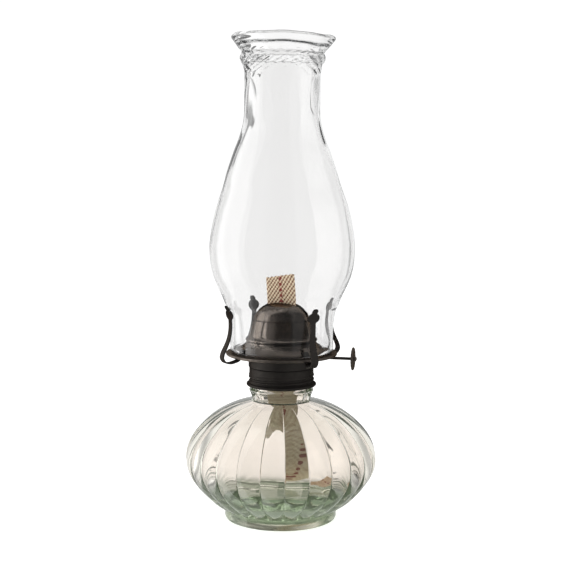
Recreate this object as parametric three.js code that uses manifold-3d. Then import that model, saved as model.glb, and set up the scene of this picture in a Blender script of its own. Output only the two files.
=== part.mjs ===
// Kerosene table lamp: a lobed glass font, a screw-on flat-wick burner and a lift-off glass chimney.
// Millimetres, +Z up, origin at the centre of the font's foot, on the surface that the lamp stands on.
import * as THREE from 'three';
import { mergeVertices } from 'three/addons/utils/BufferGeometryUtils.js';
import Module from 'manifold-3d';

const wasm = await Module();
wasm.setup();

// ---------------------------------------------------------------- driving dimensions
const GAP = 0.3; // air between pieces that touch on the real lamp

const FONT = { // the pressed glass reservoir
  lobes: 25,
  segmentsPerLobe: 3,
  valleyAzimuth: -87.6, // degrees, where one valley between two lobes lies
  lobeDepth: 1.5,
  footRadius: 42,
  footHeight: 8,
  restInnerRadius: 33,
  baseTop: 13.6, // top of the thick glass base, on the axis
  boreRadius: 18.4,
  collarRadius: 24,
  collarBottom: 89,
  collarTop: 98,
  rimTop: 112,
};

const THREAD = { // right-handed, one start, shared by the glass neck and the screw cap
  pitch: 3.2,
  rootRadius: 22.2,
  depth: 1.1,
  clearance: 0.55,
  sheet: 0.75,
  segments: 24,
};

const BURNER_AZIMUTH = -12; // degrees, the direction of the wick's width and of the raising shaft

const WICK = { width: 22.2, thickness: 2, top: 183, straightEnd: 96 };

const TUBE = { length: 25.2, width: 4.6, wall: 0.6, bottom: 104, top: 160.2 };

const SHEET = 0.7; // thickness of the burner's pressed metal

const CAP = { bottom: 100.4, top: 114.6, drumRadius: 24.1 };

const BASKET = { bottom: 114.9, top: 130.3, radius: 24.7, holes: 12, holeZ: 127.4, holeRadius: 1.5 };

const GALLERY = {
  beadRadius: 1.05,
  beadCentreRadius: 40.5,
  beadZ: 124.75,
  slotRadius: 35.3, // where the prongs pass through the plate
  slotDepth: 3.4,
  ventRadius: 29.5,
  ventBore: 1.1,
};

const DOME = { slotLength: 39.4, slotWidth: 8.2, slotBottom: 151.8 };

const PRONG = {
  azimuths: [31, 121, 211, 301],
  thickness: 1.1,
  rootWidth: 5.7,
  stemWidth: 4.7,
  discZ: 156.2,
  discHalfWidth: 5,
  discHalfHeight: 3.7,
  tipZ: 160.9,
  tipRadius: 2.35,
};

const SHAFT = { radius: 1.1, z: 121.4, inner: -12.5, outer: 53.6 };

const SPUR = { radius: 5, rootRadius: 3.8, teeth: 10, thickness: 1, places: [-8, 0, 8] };

const THUMB = { radius: 8.65, thickness: 1.5, centre: 53.15, scallops: 16, scallopDepth: 0.5, dishDepth: 0.45 };

const SLEEVE = { radius: 2.1, from: 22.6, to: 30 };

const CHIMNEY = { bottom: 126.7, wall: 2, neckWall: 3, segments: 28 };

// The shaft lies behind the wick, with its spur wheels just short of the wick's face.
const SHAFT_OFFSET = WICK.thickness / 2 + GAP + SPUR.radius;

// ---------------------------------------------------------------- materials
function material(color, roughness, metalness, opacity = 1) {
  return new THREE.MeshStandardMaterial({ color, roughness, metalness, opacity, transparent: opacity < 1 });
}

const MATERIAL = {
  greenGlass: material(0xcfdccb, 0.05, 0, 0.4),
  clearGlass: material(0xe9edee, 0.03, 0, 0.3),
  bronze: material(0x2b2522, 0.38, 0.75),
  innerMetal: material(0x4b423b, 0.45, 0.8),
  rubber: material(0x1d1c1b, 0.8, 0),
  cotton: material(0xcdb797, 0.95, 0),
};

// ---------------------------------------------------------------- mesh helpers
const radians = THREE.MathUtils.degToRad;

// Welds a geometry, drops its collapsed triangles and turns its faces outwards.
function closed(geometry) {
  geometry.deleteAttribute('normal');
  geometry.deleteAttribute('uv');
  const welded = mergeVertices(geometry, 1e-4);
  const index = welded.index.array;
  const kept = [];
  for (let i = 0; i < index.length; i += 3) {
    const [a, b, c] = [index[i], index[i + 1], index[i + 2]];
    if (a !== b && b !== c && a !== c) kept.push(a, b, c);
  }
  const points = welded.attributes.position;
  const corner = [new THREE.Vector3(), new THREE.Vector3(), new THREE.Vector3()];
  let volume = 0;
  for (let i = 0; i < kept.length; i += 3) {
    for (let k = 0; k < 3; k++) corner[k].fromBufferAttribute(points, kept[i + k]);
    volume += corner[0].dot(corner[1].clone().cross(corner[2]));
  }
  if (volume < 0) kept.reverse();
  const result = new THREE.BufferGeometry();
  result.setAttribute('position', points);
  result.setIndex(kept);
  return result;
}

function toSolid(geometry) {
  const mesh = closed(geometry);
  return new wasm.Manifold(new wasm.Mesh({
    numProp: 3,
    vertProperties: new Float32Array(mesh.attributes.position.array),
    triVerts: new Uint32Array(mesh.index.array),
  }));
}

function fromSolid(solid) {
  const mesh = solid.getMesh();
  const geometry = new THREE.BufferGeometry();
  geometry.setAttribute('position', new THREE.BufferAttribute(new Float32Array(mesh.vertProperties), 3));
  geometry.setIndex(new THREE.BufferAttribute(new Uint32Array(mesh.triVerts), 1));
  return geometry;
}

// Takes every tool away from the body.
function cut(body, ...tools) {
  return fromSolid(tools.reduce((solid, tool) => solid.subtract(toSolid(tool)), toSolid(body)));
}

function join(...bodies) {
  return fromSolid(bodies.map(toSolid).reduce((sum, solid) => sum.add(solid)));
}

// Revolves [radius, z] points about Z. The outline closes on itself or starts and ends on the axis.
function revolve(outline, segments) {
  const points = outline.map(([radius, z]) => new THREE.Vector2(radius, z));
  const onAxis = points[0].x === 0 && points.at(-1).x === 0;
  if (!onAxis) points.push(points[0].clone());
  return new THREE.LatheGeometry(points, segments).rotateX(Math.PI / 2);
}

// A smooth curve through [radius, z] points, as a list of count + 1 such points.
function smooth(outline, count) {
  const curve = new THREE.SplineCurve(outline.map(([radius, z]) => new THREE.Vector2(radius, z)));
  return curve.getPoints(count).map((point) => [point.x, point.y]);
}

function box(x, y, z, centre = [0, 0, 0]) {
  return new THREE.BoxGeometry(x, y, z).translate(...centre);
}

// A flat plate of the given outline, lying at z, with optional holes.
function plate(shape, z, thickness) {
  return new THREE.ExtrudeGeometry(shape, { depth: thickness, bevelEnabled: false, curveSegments: 4 })
    .translate(0, 0, z);
}

function disc(radius, sides) {
  return new THREE.Shape(Array.from({ length: sides }, (_, i) => new THREE.Vector2(
    radius * Math.cos(2 * Math.PI * i / sides), radius * Math.sin(2 * Math.PI * i / sides))));
}

// A rectangle with half-round ends, centred on the origin.
function stadium(length, width, PathClass = THREE.Shape) {
  const radius = width / 2;
  const straight = length / 2 - radius;
  const path = new PathClass();
  path.absarc(straight, 0, radius, -Math.PI / 2, Math.PI / 2, false);
  path.absarc(-straight, 0, radius, Math.PI / 2, 1.5 * Math.PI, false);
  path.closePath();
  return path;
}

function roundHole(x, y, radius) {
  const path = new THREE.Path();
  path.absarc(x, y, radius, 0, 2 * Math.PI, true);
  return path;
}

// A cylinder along X between two places, at the shaft's height and offset.
function alongShaft(radius, from, to, sides) {
  return new THREE.CylinderGeometry(radius, radius, to - from, sides)
    .rotateZ(Math.PI / 2)
    .translate((from + to) / 2, SHAFT_OFFSET, SHAFT.z);
}

// ---------------------------------------------------------------- screw thread
// How far the thread stands out at a height and azimuth, from 0 in its root to 1 on its crest.
function threadShape(z, azimuth) {
  return 0.5 + 0.5 * Math.cos(2 * Math.PI * (z / THREAD.pitch - azimuth / (2 * Math.PI)));
}

// 1 between two heights, easing to 0 over the run-out outside them.
function runOut(z, from, to, length) {
  const ease = THREE.MathUtils.smoothstep;
  return ease(z, from - length, from) * (1 - ease(z, to, to + length));
}

// Rows of an outline that is straight at one radius, close enough together to carry the thread.
function threadRows(radius, from, to, count) {
  return Array.from({ length: count + 1 }, (_, i) => [radius, from + (to - from) * i / count]);
}

// Moves each vertex of a revolved geometry to the radius that the rule gives, or leaves it.
function reshape(geometry, rule) {
  const points = geometry.attributes.position;
  for (let i = 0; i < points.count; i++) {
    const [x, y, z] = [points.getX(i), points.getY(i), points.getZ(i)];
    const radius = Math.hypot(x, y);
    const wanted = rule(radius, z, Math.atan2(y, x));
    if (radius > 0 && wanted !== undefined) points.setXYZ(i, x * wanted / radius, y * wanted / radius, z);
  }
  return geometry;
}

// ---------------------------------------------------------------- font
// Crest outline of the lobed bowl, from the foot to the neck.
const BOWL_OUTLINE = [
  [45, 9], [58.8, 20], [70.1, 36], [72.05, 44], [71.2, 52], [66, 64], [56.2, 74], [42.9, 83], [24, 88.6],
];

// The round inside of the bowl, from the thick base up to the bore.
const CAVITY_OUTLINE = [
  [28, 14.6], [40, 17.4], [51, 22.5], [60, 29.5], [65.5, 36.5], [67.6, 44], [66.5, 52], [60.5, 62.6],
  [50.5, 72.4], [38, 80.5],
];

// Depth of a valley below the lobes' crests, eased out at the foot and at the neck.
function lobeCut(z, azimuth) {
  const across = (azimuth - radians(FONT.valleyAzimuth)) * FONT.lobes / 2;
  const valley = 1 - Math.abs(Math.sin(across));
  return FONT.lobeDepth * valley * runOut(z, 14, 82, 7);
}

function fontGeometry() {
  const round = FONT.lobes * FONT.segmentsPerLobe;
  const lobed = new THREE.LatheGeometry(
    [[0, 9], ...smooth(BOWL_OUTLINE, 9), [0, 88.6]].map(([radius, z]) => new THREE.Vector2(radius, z)),
    round, radians(FONT.valleyAzimuth + 90),
  ).rotateX(Math.PI / 2);
  reshape(lobed, (radius, z, azimuth) => (radius > 20 ? radius - lobeCut(z, azimuth) : undefined));
  const { footRadius: foot, footHeight, restInnerRadius: rest } = FONT;
  const footRing = revolve([
    [0, 3.2], [rest - 6, 2.6], [rest, 0], [foot - 1.6, 0], [foot, 1.6], [foot - 0.4, footHeight],
    [foot + 3, footHeight + 4], [0, footHeight + 4],
  ], 36);
  const { rootRadius: root, segments } = THREAD;
  const neck = revolve([
    [0, 84], [25.5, 86], [22, FONT.collarBottom], [22.6, 92.5], [FONT.collarRadius, 96.6],
    [FONT.collarRadius, FONT.collarTop], [root, 98.9], ...threadRows(root, 99.8, 109.8, 14),
    [root, 111.2], [root - 0.8, FONT.rimTop], [0, FONT.rimTop],
  ], segments);
  reshape(neck, (radius, z, azimuth) => {
    const carries = z > 99.7 && z < 109.9 && radius > FONT.boreRadius;
    return carries ? root + THREAD.depth * threadShape(z, azimuth) * runOut(z, 101.5, 108.3, 1.6) : undefined;
  });
  const bore = FONT.boreRadius;
  const cavity = revolve([
    [0, FONT.baseTop], ...smooth([...CAVITY_OUTLINE, [bore, FONT.collarBottom]], 10),
    [bore, FONT.rimTop + 1], [0, FONT.rimTop + 1],
  ], 30);
  return cut(join(lobed, footRing, neck), cavity);
}

// ---------------------------------------------------------------- screw cap and its washer
function screwCapGeometry() {
  const { rootRadius: root, depth, clearance, sheet, segments } = THREAD;
  const crest = root + depth + clearance; // where the cap's inside clears the glass thread
  const drum = CAP.drumRadius;
  const [from, to, rows] = [102.9, 108.9, 8];
  const outside = [
    [25, CAP.bottom], [25.8, 100.8], [26.2, 101.7], [25.9, 102.4], ...threadRows(crest + sheet, from, to, rows),
    [drum, 109.6], [drum, CAP.top],
  ];
  const inside = [
    [20, CAP.top], [20, CAP.top - SHEET], [drum - SHEET, CAP.top - SHEET], [drum - SHEET, 109.6],
    ...threadRows(crest, from, to, rows).reverse(), [25, 102.4], [25.3, 101.7], [25.1, 101.1], [24.3, CAP.bottom],
  ];
  const cap = revolve([...outside, ...inside], segments);
  return reshape(cap, (radius, z, azimuth) => {
    if (z < from - 0.1 || z > to + 0.1) return undefined;
    const inward = depth * (1 - threadShape(z, azimuth)) * runOut(z, 103.9, 108, 1.1);
    return radius - inward;
  });
}

function washerGeometry() {
  return revolve([[18.9, 112.3], [21.9, 112.3], [21.9, 113.6], [18.9, 113.6]], 24);
}

// ---------------------------------------------------------------- burner body
function basePlateGeometry() {
  const shape = disc(BASKET.radius - SHEET - GAP, 32);
  shape.holes.push(stadium(TUBE.length + 2 * GAP, TUBE.width + 2 * GAP, THREE.Path));
  return plate(shape, BASKET.bottom, 0.6);
}

function wickTubeGeometry() {
  const shape = stadium(TUBE.length, TUBE.width);
  shape.holes.push(stadium(TUBE.length - 2 * TUBE.wall, TUBE.width - 2 * TUBE.wall, THREE.Path));
  const tube = plate(shape, TUBE.bottom, TUBE.top - TUBE.bottom);
  const windows = SPUR.places.map((x) => box(SPUR.thickness + 1.2, 2, 7, [x, TUBE.width / 2, SHAFT.z]));
  return cut(tube, ...windows);
}

function airBasketGeometry() {
  const { radius, bottom, top, holes, holeZ, holeRadius } = BASKET;
  const inner = radius - SHEET;
  const wall = revolve([
    [radius, bottom], [radius, 123.5], [radius + 0.9, 124.6], [radius + 0.9, top],
    [inner + 0.9, top], [inner + 0.9, 124.9], [inner, 123.8], [inner, bottom],
  ], 32);
  const drills = Array.from({ length: holes }, (_, i) => new THREE.CylinderGeometry(holeRadius, holeRadius, 6, 6)
    .rotateZ(Math.PI / 2).translate(radius, 0, holeZ).rotateZ(2 * Math.PI * (i + 0.5) / holes));
  const sleeveHole = alongShaft(SLEEVE.radius + GAP, SLEEVE.from - 3, SLEEVE.to, 10);
  return cut(wall, sleeveHole, ...drills);
}

function airDiffuserGeometry() {
  const shape = disc(BASKET.radius - GAP, 32);
  shape.holes.push(stadium(TUBE.length + 2 * GAP, TUBE.width + 2 * GAP, THREE.Path));
  for (const side of [-1, 1]) {
    for (let i = 0; i < 6; i++) {
      const azimuth = side * Math.PI * (0.2 + 0.12 * i);
      shape.holes.push(roundHole(17.5 * Math.cos(azimuth), 17.5 * Math.sin(azimuth), 2));
    }
  }
  return plate(shape, BASKET.top + GAP, 0.6);
}

// The bell and the flared gallery plate that carries the chimney are one pressing.
function galleryGeometry() {
  const { beadRadius, beadCentreRadius, beadZ } = GALLERY;
  const bead = Array.from({ length: 6 }, (_, i) => {
    const turn = radians(140 - 56 * i);
    return [beadCentreRadius + beadRadius * Math.cos(turn), beadZ + beadRadius * Math.sin(turn)];
  });
  const top = [
    [21.2, 150.3], [22.1, 145.8], [23.7, 139.5], [25.2, 137.3], [26.7, 135.8], [26.3, 134.2], [27.1, 132.6],
    [29, 130.6], [31.5, 128.7], [34, 127.3], [36.5, 126.3],
  ];
  const under = top.map(([radius, z], i) => (i < 6 ? [radius - SHEET, z - 0.1] : [radius - 0.3, z - SHEET]));
  under[0][1] = top[0][1];
  const pressing = revolve([...top, ...bead, ...under.reverse()], 30);
  const { slotRadius, slotDepth, ventRadius, ventBore } = GALLERY;
  const slots = PRONG.azimuths.map((azimuth) => box(slotDepth, PRONG.rootWidth + 1, 8, [slotRadius, 0, 126])
    .rotateZ(radians(azimuth)));
  const vents = PRONG.azimuths.map((azimuth) => new THREE.CylinderGeometry(ventBore, ventBore, 8, 6)
    .rotateX(Math.PI / 2).translate(ventRadius, 0, 130).rotateZ(radians(azimuth)));
  return cut(pressing, ...slots, ...vents);
}

// The dome that draws air across the flame, slotted for the wick. Its skirt plugs into the bell.
function deflectorDomeGeometry() {
  const outside = [
    [0, 163.3], [6, 163], [10.8, 162], [13.8, 160.6], [16.2, 158.7], [18.2, 156.6], [19.5, 154.5], [20.4, 152.6],
    [21, 150.6],
  ];
  const inside = [
    [20.1, 150.6], [20.1, 147.2], [19.5, 147.2], [19.5, 152.3], [18.8, 154.1], [17.5, 156.1], [15.6, 158.1],
    [13.3, 159.9], [10.4, 161.3], [5.8, 162.3], [0, 162.6],
  ];
  const shell = revolve([...outside, ...inside], 24);
  const { slotLength, slotWidth, slotBottom } = DOME;
  return cut(shell, box(slotLength, slotWidth, 20, [0, 0, slotBottom + 10]));
}

// ---------------------------------------------------------------- prongs
// Side view of a prong, from the tab clenched on the plate, through its slot and round to the tip.
const PRONG_PATH = [
  [31.7, 129.5], [33.4, 128.5], [35, 126.9], [35.7, 124.6], [37.6, 122.3], [40.5, 121.2], [44, 120.6],
  [48, 121.5], [50.3, 124.5], [49.8, 128], [47.3, 133], [45.3, 137.5], [44, 143], [43.6, 149], [44.3, 156],
  [45.5, 159.5], [47.5, 162.8],
];

// A bent strip: the side view thickened, and trimmed to the front view of stem, disc and tip.
function prongGeometry() {
  const path = new THREE.SplineCurve(PRONG_PATH.map(([radius, z]) => new THREE.Vector2(radius, z)));
  const steps = 24;
  const [left, right] = [[], []];
  for (let i = 0; i <= steps; i++) {
    const point = path.getPointAt(i / steps);
    const tangent = path.getTangentAt(i / steps);
    const across = new THREE.Vector2(-tangent.y, tangent.x).multiplyScalar(PRONG.thickness / 2);
    left.push(point.clone().add(across));
    right.unshift(point.clone().sub(across));
  }
  const side = new THREE.ExtrudeGeometry(new THREE.Shape([...left, ...right]), { depth: 12, bevelEnabled: false })
    .rotateX(Math.PI / 2).translate(0, 6, 0);
  const [root, stem] = [PRONG.rootWidth / 2, PRONG.stemWidth / 2];
  const front = (shape) => new THREE.ExtrudeGeometry(shape, { depth: 30, bevelEnabled: false, curveSegments: 6 })
    .rotateX(Math.PI / 2).rotateZ(Math.PI / 2).translate(28, 0, 0);
  const strip = new THREE.Shape([[-root, 118], [root, 118], [root, 131], [stem, 140], [stem - 0.3, 157],
    [1.7, 161.5], [-1.7, 161.5], [0.3 - stem, 157], [-stem, 140], [-root, 131]]
    .map(([across, z]) => new THREE.Vector2(across, z)));
  const head = new THREE.Shape();
  head.absellipse(0, PRONG.discZ, PRONG.discHalfWidth, PRONG.discHalfHeight, 0, 2 * Math.PI, false, 0);
  const tip = new THREE.Shape();
  tip.absarc(0, PRONG.tipZ, PRONG.tipRadius, 0, 2 * Math.PI, false);
  const outline = [strip, head, tip].map((shape) => toSolid(front(shape))).reduce((sum, part) => sum.add(part));
  return fromSolid(toSolid(side).intersect(outline));
}

// ---------------------------------------------------------------- wick raiser
function sleeveGeometry() {
  return cut(alongShaft(SLEEVE.radius, SLEEVE.from, SLEEVE.to, 14),
    alongShaft(SHAFT.radius + GAP, SLEEVE.from - 1, SLEEVE.to + 1, 14));
}

// A disc along X whose rim follows a wave or teeth, with a bore for the shaft.
function rimmedDisc(thickness, outline) {
  const shape = new THREE.Shape(outline.map(([radius, turn]) => new THREE.Vector2(
    radius * Math.cos(turn), radius * Math.sin(turn))));
  shape.holes.push(roundHole(0, 0, SHAFT.radius + GAP));
  return new THREE.ExtrudeGeometry(shape, { depth: thickness, bevelEnabled: false, curveSegments: 6 })
    .rotateY(Math.PI / 2).translate(-thickness / 2, 0, 0);
}

function spurWheelGeometry(place) {
  const outline = Array.from({ length: 2 * SPUR.teeth }, (_, i) => [
    i % 2 ? SPUR.rootRadius : SPUR.radius, Math.PI * i / SPUR.teeth]);
  return rimmedDisc(SPUR.thickness, outline).translate(place, SHAFT_OFFSET, SHAFT.z);
}

// The stamped thumb wheel: a scalloped rim round a face that is dished on both sides.
function thumbWheelGeometry() {
  const steps = THUMB.scallops * 2;
  const outline = Array.from({ length: steps }, (_, i) => [
    THUMB.radius - (i % 2 ? 0 : THUMB.scallopDepth), 2 * Math.PI * i / steps]);
  const [hub, rim] = [3, THUMB.radius - 1.8];
  const dishes = [-1, 1].map((side) => revolve([[hub, 0], [rim, 0], [rim, 2], [hub, 2]], 16)
    .translate(0, 0, THUMB.thickness / 2 - THUMB.dishDepth).rotateY(side * Math.PI / 2));
  return cut(rimmedDisc(THUMB.thickness, outline), ...dishes).translate(THUMB.centre, SHAFT_OFFSET, SHAFT.z);
}

function rivetGeometry() {
  const start = THUMB.centre + THUMB.thickness / 2 + GAP;
  return revolve([[0, 0], [2, 0], [2, 0.8], [1.4, 1.7], [0, 2.1]], 12)
    .rotateY(Math.PI / 2).translate(start, SHAFT_OFFSET, SHAFT.z);
}

// ---------------------------------------------------------------- wick
function wickGeometry() {
  const height = WICK.top - WICK.straightEnd;
  return box(WICK.width, WICK.thickness, height, [0, 0, WICK.straightEnd + height / 2]);
}

// The slack end hangs in the font, turns as it falls and folds over along the base.
const TAIL_ROUTE = [ // x, y, z of the tape's centre line, then the azimuth and the tilt of its width
  [0, 0, 95.2, -12, 0], [0, 0, 91, -13, 0], [1, 0.2, 84.5, -15, 0], [2.9, 0.8, 76, -17, 0],
  [5, 1.6, 67, -17, 0], [7.3, 2.6, 57, -15, 0], [9.8, 3.6, 47, -13, 0], [12.6, 5.2, 38.5, -16, 0],
  [15.2, 7.4, 30.6, -26, -1], [18.4, 9.8, 24.4, -40, -4], [22.6, 12.6, 20.6, -50, -8],
  [27.4, 15.8, 20, -56, -11], [32, 18.8, 22.8, -58, -12],
];

// A flat tape along the route, its thickness square to the route.
function tailGeometry() {
  const centre = new THREE.CatmullRomCurve3(TAIL_ROUTE.map(([x, y, z]) => new THREE.Vector3(x, y, z)));
  const steps = 20;
  const vertices = [];
  for (let i = 0; i <= steps; i++) {
    const place = centre.getPoint(i / steps);
    const along = centre.getTangent(i / steps);
    const reach = i * (TAIL_ROUTE.length - 1) / steps;
    const [low, high] = [TAIL_ROUTE[Math.floor(reach)], TAIL_ROUTE[Math.ceil(reach)]];
    const azimuth = radians(THREE.MathUtils.lerp(low[3], high[3], reach % 1));
    const tilt = radians(THREE.MathUtils.lerp(low[4], high[4], reach % 1));
    const across = new THREE.Vector3(Math.cos(azimuth), Math.sin(azimuth), Math.tan(tilt)).normalize();
    const face = new THREE.Vector3().crossVectors(along, across).normalize();
    across.crossVectors(face, along).normalize();
    for (const [u, v] of [[-1, -1], [1, -1], [1, 1], [-1, 1]]) {
      vertices.push(...place.clone().addScaledVector(across, u * WICK.width / 2)
        .addScaledVector(face, v * WICK.thickness / 2).toArray());
    }
  }
  const faces = [0, 1, 2, 0, 2, 3];
  for (let i = 0; i < steps; i++) {
    for (let k = 0; k < 4; k++) {
      const [a, b] = [4 * i + k, 4 * i + (k + 1) % 4];
      faces.push(a, a + 4, b, b, a + 4, b + 4);
    }
  }
  const last = 4 * steps;
  faces.push(last, last + 2, last + 1, last, last + 3, last + 2);
  const geometry = new THREE.BufferGeometry();
  geometry.setAttribute('position', new THREE.Float32BufferAttribute(vertices, 3));
  geometry.setIndex(faces);
  return geometry;
}

// ---------------------------------------------------------------- chimney
function chimneyGeometry() {
  const { bottom, wall, neckWall, segments } = CHIMNEY;
  const body = [
    [38.4, 142], [39.4, 153], [42.4, 162], [48.8, 176.7], [53, 191], [54, 202.5], [52.5, 217.6], [49.6, 231],
    [43.6, 249.6], [37.6, 268], [32.5, 282.4], [29.3, 293], [28, 304],
  ];
  const outside = smooth(body, 15);
  const inside = outside.map(([radius, z]) => {
    const thickening = THREE.MathUtils.smoothstep(z, 250, 304);
    return [radius - THREE.MathUtils.lerp(wall, neckWall, thickening), z];
  });
  const crown = [
    [28, 331], [28.9, 337], [31.2, 341], [31.4, 343.6], [30.9, 346], [35.8, 351.6], [38, 356.4], [36.8, 360],
    [35, 359.4], [32.8, 353], [27.6, 346], [25, 334],
  ];
  return revolve([
    [38.4 - wall, bottom], [38.4, bottom], ...outside, ...crown, ...inside.reverse(),
  ], segments);
}

// ---------------------------------------------------------------- assembly
const lamp = new THREE.Group();
const burner = new THREE.Group(); // turned so that its X runs along the shaft, outwards
burner.rotation.z = radians(BURNER_AZIMUTH);
lamp.add(burner);

function add(group, name, geometry, look) {
  const mesh = new THREE.Mesh(closed(geometry), look);
  mesh.geometry.computeVertexNormals();
  mesh.name = name;
  group.add(mesh);
  return mesh;
}

add(lamp, 'font', fontGeometry(), MATERIAL.greenGlass);
add(lamp, 'sealing_washer', washerGeometry(), MATERIAL.rubber);
add(lamp, 'screw_cap', screwCapGeometry(), MATERIAL.bronze);
add(burner, 'base_plate', basePlateGeometry(), MATERIAL.innerMetal);
add(burner, 'air_basket', airBasketGeometry(), MATERIAL.bronze);
add(burner, 'air_diffuser', airDiffuserGeometry(), MATERIAL.innerMetal);
add(burner, 'wick_tube', wickTubeGeometry(), MATERIAL.innerMetal);
add(lamp, 'gallery', galleryGeometry(), MATERIAL.bronze);
add(burner, 'deflector_dome', deflectorDomeGeometry(), MATERIAL.bronze);
PRONG.azimuths.forEach((azimuth, i) => {
  add(lamp, `prong_${i + 1}`, prongGeometry(), MATERIAL.bronze).rotation.z = radians(azimuth);
});
add(burner, 'shaft_sleeve', sleeveGeometry(), MATERIAL.bronze);
add(burner, 'wick_shaft', alongShaft(SHAFT.radius, SHAFT.inner, SHAFT.outer, 12), MATERIAL.bronze);
SPUR.places.forEach((place, i) => {
  add(burner, `spur_wheel_${i + 1}`, spurWheelGeometry(place), MATERIAL.innerMetal);
});
add(burner, 'thumb_wheel', thumbWheelGeometry(), MATERIAL.bronze);
add(burner, 'thumb_wheel_rivet', rivetGeometry(), MATERIAL.bronze);
add(burner, 'wick', wickGeometry(), MATERIAL.cotton);
add(lamp, 'wick_tail', tailGeometry(), MATERIAL.cotton);
add(lamp, 'chimney', chimneyGeometry(), MATERIAL.clearGlass);

export default lamp;
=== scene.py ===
# Looks of the oil lamp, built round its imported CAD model. Metres; outlines are given in millimetres.
import math

import bpy
import numpy as np
from mathutils import Matrix, Vector


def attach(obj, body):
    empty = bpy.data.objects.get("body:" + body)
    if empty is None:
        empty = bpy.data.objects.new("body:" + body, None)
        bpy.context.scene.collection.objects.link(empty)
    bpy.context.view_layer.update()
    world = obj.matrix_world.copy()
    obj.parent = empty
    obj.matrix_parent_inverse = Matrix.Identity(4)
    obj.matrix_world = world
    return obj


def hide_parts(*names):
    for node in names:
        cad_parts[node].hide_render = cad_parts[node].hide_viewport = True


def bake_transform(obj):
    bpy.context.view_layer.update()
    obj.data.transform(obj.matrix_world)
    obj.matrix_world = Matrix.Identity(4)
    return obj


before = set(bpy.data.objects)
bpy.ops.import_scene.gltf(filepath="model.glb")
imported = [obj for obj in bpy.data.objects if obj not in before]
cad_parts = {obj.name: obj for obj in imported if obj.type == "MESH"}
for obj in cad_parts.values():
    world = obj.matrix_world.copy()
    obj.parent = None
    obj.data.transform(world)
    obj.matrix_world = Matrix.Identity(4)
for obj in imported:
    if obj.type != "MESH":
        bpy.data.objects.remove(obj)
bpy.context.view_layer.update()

MM = 0.001
TAU = 2 * math.pi
LAMP = bpy.context.scene.collection

# ---------------------------------------------------------------- sizes shared with the CAD model, in mm
BURNER_AZIMUTH = math.radians(-12)
LOBES = 25
VALLEY_AZIMUTH = math.radians(-87.6)
PITCH = 3.2
THREAD_ROOT = 22.2
THREAD_DEPTH = 1.1
SHEET = 0.7
SHAFT_Z = 121.4
SHAFT_OFFSET = 6.3
PRONG_AZIMUTHS = [31, 121, 211, 301]
PRONG_SIDEWAYS = [0, 0.4, -0.3, -2.4]
WHEEL_PLACE = 53.15


# ---------------------------------------------------------------- camera
def make_camera():
    """The photographed view: from in front, a little above the lamp, looking slightly down."""
    data = bpy.data.cameras.new("camera")
    data.sensor_width = 36
    data.lens = 79.8
    camera = bpy.data.objects.new("camera", data)
    camera.location = (0, -0.925, 0.2794)
    tilt, roll = math.radians(-6.25), math.radians(0.38)
    look = Matrix.Rotation(math.radians(90) + tilt, 4, "X") @ Matrix.Rotation(roll, 4, "Z")
    camera.matrix_world = Matrix.Translation(camera.location) @ look
    LAMP.objects.link(camera)
    bpy.context.scene.camera = camera


# ---------------------------------------------------------------- curves and meshes
def smooth(points, count):
    """A Catmull-Rom curve through the points, sampled at count + 1 places."""
    points = np.array(points, float)
    ends = np.vstack([2 * points[0] - points[1], points, 2 * points[-1] - points[-2]])
    places = np.linspace(0, len(points) - 1, count + 1)
    first = np.minimum(places.astype(int), len(points) - 2)
    t = (places - first)[:, None]
    a, b, c, d = (ends[first + k] for k in range(4))
    return 0.5 * (2 * b + (c - a) * t + (2 * a - 5 * b + 4 * c - d) * t**2 + (3 * b - a - 3 * c + d) * t**3)


def fair(points, passes):
    """Evens out the curvature of a curve, its ends held."""
    points = np.array(points)
    for _ in range(passes):
        points[1:-1] = 0.25 * points[:-2] + 0.5 * points[1:-1] + 0.25 * points[2:]
    return points


def ease(x, low, high):
    """0 below low, 1 above high, with a smooth step between."""
    t = np.clip((np.asarray(x, float) - low) / (high - low), 0, 1)
    return t * t * (3 - 2 * t)


def run_out(z, low, high, length):
    """1 between low and high, fading to 0 over the length beyond either end."""
    return ease(z, low - length, low) * (1 - ease(z, high, high + length))


def add_mesh(name, vertices, faces, sharp=40):
    """A smooth-shaded object from vertices in mm, with edges sharper than the angle kept sharp."""
    mesh = bpy.data.meshes.new(name)
    mesh.from_pydata([tuple(v) for v in np.asarray(vertices) * MM], [], faces)
    mesh.validate()
    mesh.polygons.foreach_set("use_smooth", [True] * len(mesh.polygons))
    if sharp:
        mesh.set_sharp_from_angle(angle=math.radians(sharp))
    piece = bpy.data.objects.new(name, mesh)
    LAMP.objects.link(piece)
    return piece


def grid_faces(rows, columns, close_rows, close_columns):
    """Quads of a grid whose vertices run column by column within each row."""
    faces = []
    for i in range(rows if close_rows else rows - 1):
        for j in range(columns if close_columns else columns - 1):
            a, b = i * columns, (i + 1) % rows * columns
            k = (j + 1) % columns
            faces.append((a + j, a + k, b + k, b + j))
    return faces


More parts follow.
